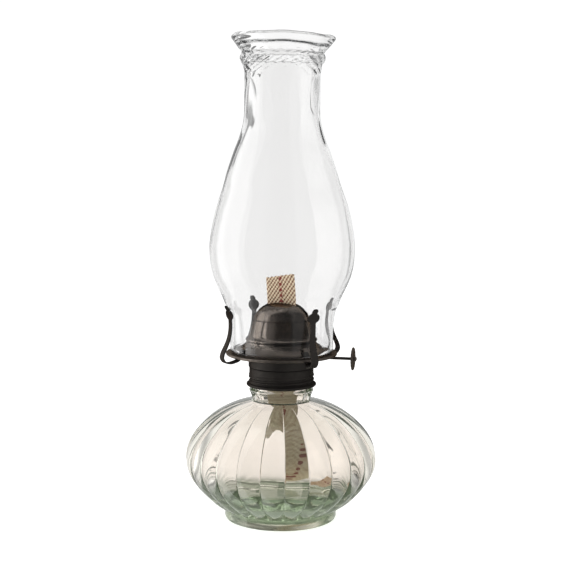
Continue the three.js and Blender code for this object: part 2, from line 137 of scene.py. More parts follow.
def revolve(name, outline, turns, rule=None, sharp=40):
    """Turns an anticlockwise (radius, z) outline about Z, in equal steps or by the turns listed.

    The rule may move the points it is given.
    """
    outline = np.array(outline, float)
    turn = np.arange(turns) * TAU / turns if np.isscalar(turns) else np.array(turns)
    steps = len(turn)
    radius, t = np.meshgrid(outline[:, 0], turn, indexing="ij")
    z = np.repeat(outline[:, 1:2], steps, axis=1)
    if rule:
        radius, z = rule(radius, z, t)
    vertices = np.stack([radius * np.cos(t), radius * np.sin(t), z], -1).reshape(-1, 3)
    rows = len(outline)
    on_axis = outline[0, 0] == 0 and outline[-1, 0] == 0
    faces = grid_faces(rows, steps, not on_axis, True)
    if on_axis:
        keep = np.arange(rows * steps)
        keep[:steps], keep[-steps:] = 0, keep[-steps]
        faces = [tuple(dict.fromkeys(int(keep[v]) for v in face)) for face in faces]
        used = sorted({v for face in faces for v in face})
        place = {v: i for i, v in enumerate(used)}
        vertices = vertices[used]
        faces = [tuple(place[v] for v in face) for face in faces]
    return add_mesh(name, vertices, faces, sharp)


def turned(piece, azimuth=BURNER_AZIMUTH):
    """Turns a piece about the lamp's axis into its place."""
    piece.data.transform(Matrix.Rotation(azimuth, 4, "Z"))
    return piece


def box_mesh(name, size, centre):
    """A straight-sided cutter of that size round its centre."""
    x, y, z = (s / 2 for s in size)
    corners = [(i * x + centre[0], j * y + centre[1], k * z + centre[2])
               for i in (-1, 1) for j in (-1, 1) for k in (-1, 1)]
    faces = [(0, 1, 3, 2), (4, 6, 7, 5), (0, 4, 5, 1), (2, 3, 7, 6), (0, 2, 6, 4), (1, 5, 7, 3)]
    return add_mesh(name, corners, faces)


def drill_mesh(name, radius, length, place, toward):
    """A round cutter of that length centred on a place, its axis along a direction."""
    side = Vector(toward).to_track_quat("Z", "Y").to_matrix()
    steps = 24
    ring = [(radius * math.cos(t), radius * math.sin(t)) for t in np.arange(steps) * TAU / steps]
    corners = [Vector(place) + side @ Vector((x, y, end * length / 2)) for end in (-1, 1) for x, y in ring]
    faces = [tuple(range(steps - 1, -1, -1)), tuple(range(steps, 2 * steps))]
    faces += [(i, (i + 1) % steps, steps + (i + 1) % steps, steps + i) for i in range(steps)]
    return add_mesh(name, corners, faces)


def cut(piece, cutters, sharp=40):
    """Takes the cutters away from the piece and removes them."""
    for cutter in cutters:
        change = piece.modifiers.new("cut", "BOOLEAN")
        change.operation, change.solver, change.object = "DIFFERENCE", "EXACT", cutter
    graph = bpy.context.evaluated_depsgraph_get()
    mesh = bpy.data.meshes.new_from_object(piece.evaluated_get(graph))
    piece.modifiers.clear()
    piece.data = mesh
    mesh.polygons.foreach_set("use_smooth", [True] * len(mesh.polygons))
    mesh.set_sharp_from_angle(angle=math.radians(sharp))
    for cutter in cutters:
        bpy.data.objects.remove(cutter)
    return piece


def finish_piece(piece, material, slot, body, *nodes):
    """Gives a piece its material and the body it rides on, and hides the CAD nodes it stands for."""
    piece.data.materials.clear()
    piece.data.materials.append(material)
    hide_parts(*nodes)
    if body:
        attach(piece, body)
    return piece


# ---------------------------------------------------------------- materials
class Nodes:
    """The node tree of a new material or world, with short ways to add and join nodes."""

    def __init__(self, name, kind="Material"):
        self.owner = (bpy.data.materials if kind == "Material" else bpy.data.worlds).new(name)
        self.owner.use_nodes = True
        self.tree = self.owner.node_tree
        self.tree.nodes.clear()
        self.output = self.tree.nodes.new("ShaderNodeOutput" + kind)

    def add(self, kind, settings=None, **inputs):
        node = self.tree.nodes.new("ShaderNode" + kind)
        for key, value in (settings or {}).items():
            setattr(node, key, value)
        for key, value in inputs.items():
            self.put(node, key.replace("_", " "), value)
        return node

    def put(self, node, name, value):
        """Sets or links an input, given by its name or as i0, i1 and so on by its place."""
        numbered = name[0] == "i" and name[1:].isdigit()
        socket = node.inputs[int(name[1:]) if numbered else name]
        if isinstance(value, bpy.types.NodeSocket):
            self.tree.links.new(value, socket)
        else:
            socket.default_value = value

    def math(self, operation, a, b=0.0, c=0.0):
        return self.add("Math", {"operation": operation}, i0=a, i1=b, i2=c).outputs[0]

    def choose(self, switch, off, on):
        """The value off where the switch is 0, and on where it is 1."""
        return self.add("Mix", Factor=switch, A=off, B=on).outputs["Result"]

    def blend(self, share, under, over, kind="MIX"):
        """One colour laid over another by its share."""
        settings = {"data_type": "RGBA", "blend_type": kind}
        return self.add("Mix", settings, Factor=share, A=under, B=over).outputs["Result"]

    def noise(self, scale, detail=3.0, roughness=0.5, vector=None):
        node = self.add("TexNoise", Scale=scale, Detail=detail, Roughness=roughness)
        source = vector or self.add("TexCoord").outputs["Object"]
        self.tree.links.new(source, node.inputs["Vector"])
        return node.outputs["Fac"]

    def ramp(self, value, *stops):
        node = self.add("ValToRGB", Fac=value)
        elements = node.color_ramp.elements
        while len(elements) < len(stops):
            elements.new(0.5)
        for element, (place, colour) in zip(elements, stops):
            element.position, element.color = place, (*colour, 1)
        return node.outputs["Color"]

    def range(self, value, low, high):
        return self.add("MapRange", Value=value, To_Min=low, To_Max=high).outputs["Result"]

    def fade(self, value, start, end, before, after):
        """A smooth step from one value to another."""
        return self.add("MapRange", {"interpolation_type": "SMOOTHSTEP"}, Value=value, From_Min=start,
                        From_Max=end, To_Min=before, To_Max=after).outputs["Result"]

    def height(self):
        """Height above the table in the piece's own frame."""
        return self.add("SeparateXYZ", Vector=self.add("TexCoord").outputs["Object"]).outputs["Z"]

    def bump(self, height, strength, distance):
        return self.add("Bump", Strength=strength, Distance=distance, Height=height).outputs["Normal"]

    def surface(self, shader):
        self.tree.links.new(shader.outputs[0], self.output.inputs["Surface"])
        return self.owner


UNDERSIDE = 5 * MM
GLASS_IOR = 1.5


def glass(name, tint, ripple, absorb, glow, frost=0.0):
    """Real, bending glass. Shadows and light from soft sources pass straight through.

    Its thickness absorbs light and gives off a faint painted glow, brighter where the glass is thicker. Its
    underside may be frosted.
    """
    n = Nodes(name)
    normal = n.add("SeparateXYZ", Vector=n.add("NewGeometry").outputs["True Normal"])
    level = n.math("GREATER_THAN", n.math("ABSOLUTE", normal.outputs["Z"]), 0.8)
    under = n.math("MULTIPLY", level, n.math("LESS_THAN", n.height(), UNDERSIDE))
    body = n.add("BsdfPrincipled", Roughness=n.math("MULTIPLY", under, frost), IOR=GLASS_IOR,
                 Base_Color=(*tint, 1), Transmission_Weight=1.0,
                 Normal=n.bump(n.noise(34, 2.0, 0.4), ripple, 0.002))
    clear = n.add("BsdfTransparent", Color=(0.93, 0.94, 0.93, 1))
    path = n.add("LightPath").outputs
    straight = n.math("MAXIMUM", path["Is Shadow Ray"], path["Is Diffuse Ray"])
    mix = n.add("MixShader", i0=straight, i1=body.outputs[0], i2=clear.outputs[0])
    (dye, density), (painted_glow_colour, strength) = absorb, glow
    absorbing = n.add("VolumeAbsorption", Color=(*dye, 1), Density=density)
    # Painted light: an emission spread through the glass's volume makes it glow faintly.
    painted_glow = n.add("Emission", Color=(*painted_glow_colour, 1), Strength=strength)
    thick = n.add("AddShader", i0=absorbing.outputs[0], i1=painted_glow.outputs[0])
    n.tree.links.new(thick.outputs[0], n.output.inputs["Volume"])
    return n.surface(mix)


PLATE_TOP = 127 * MM
BELL_FOOT = 134 * MM


def bronze(name, dark, light, roughness, spun, matte):
    """Dark bronzed sheet: mottled patina, faint spinning marks round the lamp's axis, uneven gloss.

    Below the bell's foot it is rougher. The matte share has lost its gloss altogether.
    """
    n = Nodes(name)
    tone = n.math("MULTIPLY_ADD", n.noise(110, 5.0, 0.6), 0.5, n.noise(30, 3.0, 0.5))
    colour = n.ramp(tone, (0.5, dark), (1.0, light))
    height = n.height()
    rings = n.noise(1500, 2.0, 0.7, n.add("CombineXYZ", Z=height).outputs["Vector"])
    gloss = n.math("MULTIPLY_ADD", rings, 0.35, n.noise(140, 4.0, 0.6))
    worn = n.add("MapRange", Value=height, From_Min=PLATE_TOP, From_Max=BELL_FOOT, To_Min=0.24, To_Max=0.0)
    rough = n.math("ADD", n.range(gloss, roughness - 0.08, roughness + 0.1), worn.outputs["Result"])
    normal = n.bump(rings, spun, 0.0003)
    glossy = n.add("BsdfPrincipled", Metallic=1.0, Base_Color=colour, Roughness=rough,
                   Specular_Tint=(0.22, 0.2, 0.18, 1), Normal=normal)
    flat = n.add("BsdfDiffuse", Color=colour, Normal=normal)
    return n.surface(n.add("MixShader", i0=matte, i1=glossy.outputs[0], i2=flat.outputs[0]))


def dull(name, dark, light, roughness, metallic, scale):
    """A plain, slightly uneven finish for the hidden metal and the rubber."""
    n = Nodes(name)
    colour = n.ramp(n.noise(scale, 4.0, 0.6), (0.3, dark), (0.75, light))
    shader = n.add("BsdfPrincipled", Metallic=metallic, Base_Color=colour, Roughness=roughness,
                   Normal=n.bump(n.noise(scale * 6, 3.0, 0.6), 0.15, 0.0005))
    return n.surface(shader)


STITCH_STEP = 4.15 * MM
STITCH_HALF_WIDTH = 1.25 * MM
STITCH_SHARE = 0.29
WEAVE_ACROSS = 2.7 * MM
WEAVE_ALONG = 3.7 * MM
WEAVE_CROSSING = 1.3
SOAKED_FROM, SOAKED_TO = 76, 84


def cotton(name):
    """Woven cotton tape. The UV map holds the place on the tape in metres: across it, then along it."""
    n = Nodes(name)
    uv = n.add("UVMap", {"uv_map": "tape"}).outputs["UV"]
    apart = n.add("SeparateXYZ", Vector=uv).outputs
    aside, length = apart["X"], apart["Y"]

    across = n.math("DIVIDE", aside, WEAVE_ACROSS)
    along = n.math("DIVIDE", length, WEAVE_ALONG)
    slant = n.math("SINE", n.math("MULTIPLY", n.math("ADD", across, along), TAU))
    crossed = n.math("SUBTRACT", across, n.math("MULTIPLY", along, WEAVE_CROSSING))
    cross = n.math("SINE", n.math("MULTIPLY", crossed, TAU))
    weave = n.math("MULTIPLY_ADD", cross, 0.5, slant)
    fibre = n.noise(2600, 3.0, 0.65, uv)
    blotch = n.noise(260, 3.0, 0.6, uv)
    dry = n.fade(length, SOAKED_FROM * MM, SOAKED_TO * MM, 0.3, 0.05)
    shade = n.math("MULTIPLY_ADD", weave, dry, n.math("MULTIPLY", fibre, 0.6))
    beige = n.ramp(n.math("MULTIPLY_ADD", blotch, 0.25, shade),
                   (0.08, (0.19, 0.085, 0.05)), (0.36, (0.55, 0.37, 0.25)), (0.7, (0.92, 0.76, 0.56)))

    step = n.math("FRACT", n.math("DIVIDE", length, STITCH_STEP))
    stitch = n.math("ABSOLUTE", n.math("SUBTRACT", step, 0.5))
    width = n.math("DIVIDE", n.math("ABSOLUTE", aside), STITCH_HALF_WIDTH)
    reach = n.math("ADD", n.math("POWER", width, 2.0),
                   n.math("POWER", n.math("DIVIDE", stitch, STITCH_SHARE), 2.0))
    stitched = n.math("MULTIPLY", n.math("LESS_THAN", reach, 1.0), 0.9)
    pink = n.math("MULTIPLY", n.math("LESS_THAN", width, 0.9), 0.16)
    colour = n.blend(pink, beige, (0.5, 0.12, 0.09, 1))
    colour = n.blend(stitched, colour, (0.23, 0.025, 0.02, 1))
    # Darker from 76 mm down the tape, where it hangs in the font: partly oil soaked into the cotton, partly
    # painted shade under the burner and behind the glass. Lighter again towards the tape's end.
    oil_and_painted_shade = n.ramp(n.math("MULTIPLY", length, 5.0), (0.38, (1, 1, 1)), (0.42, (0.42, 0.48, 0.49)),
                    (0.7, (0.4, 0.46, 0.47)), (0.79, (0.62, 0.66, 0.64)), (0.86, (0.85, 0.86, 0.85)))
    colour = n.blend(1.0, colour, oil_and_painted_shade, "MULTIPLY")

    raised = n.math("MULTIPLY", weave, n.math("MULTIPLY", dry, 3.0))
    relief = n.math("MULTIPLY_ADD", fibre, 0.5, raised)
    shader = n.add("BsdfPrincipled", Base_Color=colour, Roughness=0.9, Sheen_Weight=0.25,
                   Normal=n.bump(relief, 0.5, 0.0003))
    return n.surface(shader)


# ---------------------------------------------------------------- glass pieces
# Outlines are (radius, height) in mm.
BOWL = [(45, 9), (52.3, 14), (58.8, 20), (65.6, 28), (70.1, 36), (72.05, 44), (71.2, 52), (68.2, 60),
        (62.3, 68), (56.2, 74), (49.9, 79), (42.9, 83), (34.5, 86.6), (26.5, 88.4), (22.6, 89.4)]
NECK = [(22, 90.3), (22.3, 92.5), (23.2, 95), (23.9, 96.6), (24.1, 97.4), (23.7, 98), (22.8, 98.6),
        (22.2, 99.2)]
CAVITY = [(18.4, 89), (22, 87.4), (30, 84), (40, 78.9), (50.5, 72.4), (60.5, 62.6), (66.5, 52),
          (67.6, 44), (65.5, 36.5), (60, 29.5), (51, 22.5), (40, 17.4), (28, 14.6), (14, 13.7)]


def thread_shape(z, azimuth):
    """The right-hand thread: 1 on its crest, 0 in its root."""
    return 0.5 + 0.5 * np.cos(TAU * (z / PITCH - azimuth / TAU))


def font_rule(first, last):
    """Cuts the valleys between the lobes, softer behind, and raises the neck's thread.

    The outside runs from the first to the last of the outline's points. The bore stays round, and the
    cavity's wall only ripples.
    """
    def rule(radius, z, azimuth):
        turn = azimuth - VALLEY_AZIMUTH
        valley = 1 - np.abs(np.sin(turn * LOBES / 2))
        behind = ease(np.sin(azimuth), -0.05, 0.35)
        valley = valley * (1 - behind) + behind * 0.35 * (0.5 + 0.5 * np.cos(turn * LOBES))
        index = np.arange(len(radius))[:, None]
        outer = (index >= first) & (index <= last)
        depth = 1.5 + 1.6 * (1 - ease(z, 10, 24)) - 1.1 * ease(z, 70, 88)
        lobes = depth * valley * run_out(z, 9.4, 88.5, 1.4)
        groove = 0.22 * np.clip(1 - (1 - valley) / 0.09, 0, 1) ** 1.5 * run_out(z, 10.5, 87.5, 2)
        lobes = lobes + 0.35 * valley * run_out(z, 91, 96, 1.5) + groove
        thread = THREAD_DEPTH * thread_shape(z, azimuth) * run_out(z, 101.5, 108.3, 1.6)
        ripple = 0.12 * np.sin(3 * azimuth + z / 7) + 0.1 * np.sin(7 * azimuth - z / 11)
        cavity = ~outer & (z > 15) & (z < 88) & (radius > 19)
        return radius + np.where(outer, thread - lobes, 0) + np.where(cavity, ripple, 0), z
    return rule


def make_font(material):
    """The reservoir: hollow-ground foot, lobed bowl, threaded neck and smooth cavity, as one body."""
    foot = [(0, 3.2), (20, 3), (27, 2.6), (30.5, 1.6), (33, 0), (40.4, 0), (41.4, 0.4), (42, 1.6),
            (42, 3), (41.7, 6), (41.6, 7.6), (42.4, 8.4)]
    bowl = fair(smooth(BOWL, 130), 45).tolist()
    neck = smooth(NECK, 20).tolist()
    thread = [(THREAD_ROOT, z) for z in np.arange(99.6, 110.4, 0.2)]
    rim = [(22.2, 111), (21.8, 111.7), (21.2, 112), (19.1, 112), (18.6, 111.7), (18.4, 111)]
    bore = [(18.4, z) for z in (108, 104, 100, 96, 92)]
    cavity = fair(smooth(CAVITY, 90), 25).tolist() + [(0, 13.5)]
    outside = bowl + neck + thread
    rule = font_rule(len(foot), len(foot + outside) - 1)
    steps = 20
    across = np.arange(steps) / steps
    across = across - 0.13 * np.sin(TAU * across)
    turns = VALLEY_AZIMUTH + (np.arange(LOBES)[:, None] + across).ravel() * TAU / LOBES
    font = revolve("font_glass", foot + outside + rim + bore + cavity, turns, rule, sharp=30)
    return finish_piece(font, material, "font_glass", "font", "font")


CHIMNEY_BODY = [(38.4, 130), (38.4, 140), (38.6, 147), (39.4, 153), (40.8, 158.8), (42.6, 162.6),
                (45, 168.6), (48.6, 176.4), (51.4, 183.6), (53.2, 192), (54, 202.5), (53.6, 209.5),
                (52.5, 217.6), (49.8, 230.5), (46.8, 240), (43.5, 249.6), (40.9, 258.8), (37.9, 268),
                (35.3, 275.5), (32.5, 282.6), (30.1, 290.2), (28.6, 297), (28, 304), (27.9, 316),
                (28, 329)]
CROWN_OUTSIDE = [(28, 331), (28.3, 334.6), (29, 337.6), (30.4, 339.6), (31.2, 341.8), (31.2, 344),
                 (30.4, 345.8), (30.4, 347.2), (32.6, 350), (35.4, 353.6), (37.9, 356.9), (38.1, 358.4),
                 (37, 359.8)]
CROWN_INSIDE = [(34.8, 359.9), (34, 358.7), (33.4, 355.8), (32.2, 354.4), (30, 353.4), (28.7, 351),
                (28.3, 347.6), (27.2, 345.6), (26.5, 343.4), (27, 341), (26.4, 338.2), (25.4, 335),
                (25, 331.6)]
CROWN_STEPS = 90
DRIFT_FROM_STEP = 60


def chimney_rule(inner):
    """Blown glass is never quite even: the crown waves and dips to one side, and the wall's thickness
    drifts. The inside begins at that point of the outline.
    """
    def rule(radius, z, azimuth):
        wave = (0.3 * np.sin(3 * azimuth + 0.7) + 0.22 * np.sin(5 * azimuth + 2.1)
                + 0.12 * np.sin(11 * azimuth))
        dip = 0.9 + 0.85 * np.cos(azimuth) + 0.2 * np.sin(azimuth)
        drift = (0.28 * np.sin(2 * azimuth + 0.6) + 0.16 * np.sin(5 * azimuth + z / 17)
                 + 0.1 * np.sin(9 * azimuth - z / 9))
        drift = drift * (1 - 0.7 * run_out(z, 120, 230, 40)) * ease(z, 128, 136)
        beads = 0.16 * np.sin(17 * azimuth + z) + 0.12 * np.sin(29 * azimuth - 2 * z)
        lean = -0.65 * np.cos(azimuth) * run_out(z, 262, 336, 26)
        inside = np.arange(len(radius))[:, None] >= inner
        radius = radius + np.where(inside, drift, 0) + run_out(z, 333, 349, 4) * beads + lean
        return radius, z + ease(z, 340, 356) * (wave - dip)
    return rule


def make_chimney(material):
    """The blown chimney: straight foot, full belly, thick neck and a moulded crown."""
    foot = [(36.9, 126.9), (37.4, 126.7), (38, 126.9), (38.4, 127.6)]
    body = smooth(CHIMNEY_BODY, 150)
    crown = smooth(CROWN_OUTSIDE + CROWN_INSIDE, CROWN_STEPS)
    wall = 2 + ease(body[:, 1], 250, 304)
    inside = np.stack([body[:, 0] - wall, body[:, 1]], -1)[::-1]
    outline = foot + body.tolist() + crown.tolist() + inside.tolist() + [(36.5, 127.6)]
    rule = chimney_rule(len(foot) + len(body) + DRIFT_FROM_STEP)
    chimney = revolve("chimney_glass", outline, 220, rule, sharp=0)
    return finish_piece(chimney, material, "chimney_glass", "chimney", "chimney")


# ---------------------------------------------------------------- burner metal
def cap_rule(radius, z, azimuth):
    """Rolls the thread into the cap's wall."""
    inward = THREAD_DEPTH * (1 - thread_shape(z, azimuth)) * run_out(z, 103.9, 108, 1.1)
    return radius - inward, z


def make_screw_cap(material):
    """The pressed cap with its rolled thread and the bead round its skirt."""
    crest = 23.85
    levels = np.arange(102.9, 109, 0.2)
    sheet = 0.75
    outline = [(24.3, 100.4), (25, 100.4), (25.6, 100.6), (26.05, 101.1), (26.2, 101.7), (26, 102.3),
               (25.3, 102.7)]
    outline += [(crest + sheet, z) for z in levels]
    outline += [(24.2, 109.5), (24.1, 110.2), (24.1, 113.9), (23.9, 114.4), (23.5, 114.6), (20, 114.6),
                (20, 113.9), (23, 113.9), (23.4, 113.5), (23.4, 109.7)]
    outline += [(crest, z) for z in levels[::-1]]
    outline += [(24.8, 102.5), (25.3, 101.8), (25.1, 101.1), (24.5, 100.7)]
    cap = revolve("cap_shell", outline, 160, cap_rule, sharp=50)
    return finish_piece(cap, material, "bronzed_metal", "burner", "screw_cap")


def make_air_basket(material):
    """The drilled wall between the cap and the gallery."""
    outline = [(24, 114.9), (24.7, 114.9), (24.7, 123.4), (25, 124.1), (25.6, 124.6), (25.6, 130.3),
               (24.9, 130.3), (24.9, 124.9), (24.3, 124.4), (24, 123.7)]
    wall = revolve("basket_wall", outline, 120)
    vents, vent_radius, vent_z = 12, 1.5, 127.4
    drills = []
    for i in range(vents):
        t = TAU * (i + 0.5) / vents
        place = (25 * math.cos(t), 25 * math.sin(t), vent_z)
        drills.append(drill_mesh("drill", vent_radius, 6, place, (math.cos(t), math.sin(t), 0)))
    drills.append(drill_mesh("drill", 2.4, 10, (24.5, SHAFT_OFFSET, SHAFT_Z), (1, 0, 0)))
    return finish_piece(turned(cut(wall, drills)), material, "bronzed_metal", "burner", "air_basket")


GALLERY_RIM_Z = 124.75
GALLERY_RIM_RADIUS = 40.5
CRIMPS = 26


def gallery_rule(radius, z, azimuth):
    """Crimps the rolled rim."""
    rim = ease(radius, 40.4, 41.4)
    crimp = np.abs(np.sin(CRIMPS * azimuth + 0.3 * (z - GALLERY_RIM_Z))) ** 0.6
    return radius + 0.28 * rim * (crimp - 0.6), z


def make_gallery(material):
    """The bell and its flared plate with a rolled, knurled rim, pierced for the prongs' tabs."""
    top = smooth([(21.2, 150.2), (22.1, 145.8), (23.3, 140.8), (24.2, 138.6), (25.2, 137.4), (26.5, 136.4),
                  (26.8, 135.4), (26.2, 134.5), (26.3, 133.5), (27.3, 132.2), (29, 130.6), (31.5, 128.7),
                  (34, 127.3), (36.5, 126.3), (39, 125.7)], 90)
    roll = 1.05
    bead = [(GALLERY_RIM_RADIUS + roll * math.cos(t), GALLERY_RIM_Z + roll * math.sin(t))
            for t in np.radians(np.arange(120, -151, -15))]
    slope = np.gradient(top, axis=0)
    slope /= np.linalg.norm(slope, axis=1, keepdims=True)
    under = top + SHEET * np.stack([slope[:, 1], -slope[:, 0]], -1)
    under[0, 1] = top[0, 1]
    outline = top.tolist() + bead + under[::-1].tolist()
    plate = revolve("gallery_bell", outline[::-1], 336, gallery_rule)
    cutters = []
    for azimuth in map(math.radians, PRONG_AZIMUTHS):
        cutters.append(turned(box_mesh("slot", (3.4, 6.7, 8), (35.3, 0, 126)), azimuth))
        out = (math.cos(azimuth), math.sin(azimuth), 0)
        cutters.append(drill_mesh("drill", 1.1, 8, (29.5 * out[0], 29.5 * out[1], 130), (0, 0, 1)))
    return finish_piece(cut(plate, cutters), material, "bronzed_metal", "burner", "gallery")


def make_dome(material):
    """The deflector dome, slotted for the wick and plugged into the top of the bell."""
    outside = [(21, 150.9), (20.9, 151.6), (20.4, 152.8), (19.5, 154.7), (18.2, 156.8), (16.2, 158.8),
               (13.8, 160.6), (10.8, 162), (6, 163), (2, 163.3)]
    inside = [(2, 162.6), (5.8, 162.3), (10.4, 161.3), (13.3, 159.9), (15.6, 158.1), (17.5, 156.1),
              (18.8, 154.1), (19.5, 152.3)]
    skirt = [(19.5, 147.2), (20.1, 147.2), (20.1, 150.6), (20.8, 150.6)]
    outline = ([(0, 162.6)] + smooth(inside, 40).tolist() + skirt
               + smooth(outside, 50).tolist() + [(0, 163.3)])
    shell = revolve("dome_shell", outline, 180)
    slot = box_mesh("slot", (39.4, 8.2, 20), (0, 0, 161.8))
    dome = turned(cut(shell, [slot], 35))
    return finish_piece(dome, material, "bronzed_metal", "burner", "deflector_dome")


PRONG_PATH = [(31.7, 129.5), (33.4, 128.5), (35, 126.9), (35.7, 124.6), (37.6, 122.3), (40.5, 121.2),
              (44, 120.6), (48, 121.5), (50.3, 124.5), (49.8, 128), (47.3, 133), (45.3, 137.5), (44, 143),
              (43.6, 149), (44.3, 156), (45.5, 159.5), (47.5, 162.8)]
PRONG_TOP = 163.2
DISC_Z, DISC_RADIUS, DISC_HALF_HEIGHT = 156.2, 5, 3.7
TIP_Z, TIP_RADIUS = 160.9, 2.35


def prong_half_width(z):
    """The stamped outline: a tapering stem, a disc and a small round tip."""
    stem = np.interp(z, [118, 131, 140, 157, 160, 161.5], [2.85, 2.85, 2.35, 2.05, 1.8, 1.7])
    stem = np.where(z > 161.5, 0.02, stem)
    disc = DISC_RADIUS * np.sqrt(np.clip(1 - ((z - DISC_Z) / DISC_HALF_HEIGHT) ** 2, 0, 1))
    tip = TIP_RADIUS * np.sqrt(np.clip(1 - ((z - TIP_Z) / TIP_RADIUS) ** 2, 0, 1))
    return np.maximum(np.maximum(stem, disc), tip)


def make_prong(number, azimuth, sideways, material):
    """A bent strip lofted along its side view, with rounded edges. Use has pushed its bow sideways."""
    path = smooth(PRONG_PATH, 260)
    path[:, 1] = np.minimum(path[:, 1], PRONG_TOP)
    along = np.gradient(path, axis=0)
    along /= np.linalg.norm(along, axis=1, keepdims=True)
    out = np.stack([along[:, 1], -along[:, 0]], -1)
    half, edge = 0.55, 0.22
    rings = []
    push = sideways * ease(path[:, 0], 37, 44) * (1 - ease(path[:, 1], 126, 150))
    for (radius, z), (dr, dz), width, aside in zip(path, out, prong_half_width(path[:, 1]), push):
        soft = min(edge, width / 2)
        section = [(-width, soft - half), (soft - width, -half), (width - soft, -half),
                   (width, soft - half), (width, half - soft), (width - soft, half),
                   (soft - width, half), (-width, half - soft)]
        for across, thick in section:
            rings.append((radius + dr * thick, across + aside, z + dz * thick))
    around = len(section)
    faces = grid_faces(len(path), around, False, True)
    faces += [tuple(range(around - 1, -1, -1)), tuple(range(len(rings) - around, len(rings)))]
    strip = turned(add_mesh(f"prong_strip_{number}", rings, faces, 35), math.radians(azimuth))
    return finish_piece(strip, material, "bronzed_metal", "burner", f"prong_{number}")


# ---------------------------------------------------------------- wick raiser
def on_shaft(piece, place):
    """Lays a piece that was turned about Z along the shaft, at a distance from the lamp's axis."""
    piece.data.transform(Matrix.Translation(Vector((place, SHAFT_OFFSET, SHAFT_Z)) * MM)
                         @ Matrix.Rotation(math.pi / 2, 4, "Y"))
    return turned(piece)


def make_shaft(material):
    """The rod behind the wick that carries the spur wheels and the thumb wheel."""
    outline = [(0, -12.5), (0.8, -12.5), (1.1, -12.2), (1.1, 53.2), (0.9, 53.5), (0, 53.5)]
    shaft = on_shaft(revolve("shaft_rod", outline, 32), 0)
    return finish_piece(shaft, material, "bronzed_metal", "wick_wheel", "wick_shaft")


def make_sleeve(material):
    """The bushing where the shaft leaves the basket."""
    outline = [(1.4, 22.6), (1.9, 22.6), (2.1, 22.8), (2.1, 29.6), (1.8, 30), (1.4, 30)]
    sleeve = on_shaft(revolve("sleeve_bush", outline, 40), 0)
    return finish_piece(sleeve, material, "bronzed_metal", "burner", "shaft_sleeve")


def wheel_rule(radius, z, azimuth):
    """Scallops the wheel's rim."""
    return radius - 0.45 * ease(radius, 7.2, 8.3) * (0.5 + 0.5 * np.cos(16 * azimuth)), z


def make_thumb_wheel(material):
    """Stamped wheel: raised hub, dished face, thick scalloped rim."""
    half = [(1.4, -0.65), (1.6, -0.75), (2.6, -0.75), (3, -0.45), (4.5, -0.3), (6.2, -0.3), (6.9, -0.45),
            (7.3, -0.72), (8.1, -0.75), (8.5, -0.55), (8.65, -0.2)]
    outline = half + [(radius, -z) for radius, z in half[::-1]]
    wheel = on_shaft(revolve("thumb_wheel_disc", outline, 192, wheel_rule), WHEEL_PLACE)
    return finish_piece(wheel, material, "bronzed_metal", "wick_wheel", "thumb_wheel")


def make_rivet(material):
    """The shaft's end, spread over the thumb wheel to hold it."""
    outline = [(0, 0.3), (1.7, 0.3), (2, 0.5), (1.95, 0.9), (1.5, 1.6), (0.8, 2), (0, 2.15)]
    rivet = on_shaft(revolve("wheel_rivet", outline, 40), WHEEL_PLACE + 0.75)
    return finish_piece(rivet, material, "bronzed_metal", "wick_wheel", "thumb_wheel_rivet")


# ---------------------------------------------------------------- wick
WICK_WIDTH = 22.2
WICK_HALF = 0.95
WICK_EDGE = 0.3
WICK_ROUTE = [  # x, y, z of the tape's centre line, then the azimuth and the tilt of its width
    (-1.3, 0, 183, -12, 0), (-0.7, 0, 175, -12, 0), (0, 0, 160, -12, 0), (0, 0, 140, -12, 0),
    (0, 0, 120, -12, 0), (0, 0, 104, -12, 0), (0, 0, 95.2, -12, 0), (0, 0, 91, -13, 0),
    (1, 0.2, 84.5, -15, 0), (2.9, 0.8, 76, -17, 0), (5, 1.6, 67, -17, 0), (7.3, 2.6, 57, -15, 0),
    (9.8, 3.6, 47, -13, 0), (12.6, 5.2, 38.5, -16, 0), (15.2, 7.4, 30.6, -26, -1),
    (18.4, 9.8, 24.4, -40, -4), (22.6, 12.6, 20.6, -50, -8), (27.4, 15.8, 20, -56, -11),
    (32, 18.8, 22.8, -58, -12),
]


def tape_relief(across, along):
    """Height of the woven surface: slanting yarns, crossed yarns and the raised centre stitches."""
    a, b = across * MM / WEAVE_ACROSS, along * MM / WEAVE_ALONG
    weave = np.sin(TAU * (a + b)) + 0.5 * np.sin(TAU * (a - WEAVE_CROSSING * b))
    step = np.abs((along * MM / STITCH_STEP) % 1 - 0.5) / 0.34
    stitch = np.clip(1 - (across / 1.15) ** 2 - step**2, 0, 1)
    return (0.09 * weave + 0.35 * np.sqrt(stitch)) * (1 - 0.8 * ease(along, SOAKED_FROM, SOAKED_TO))


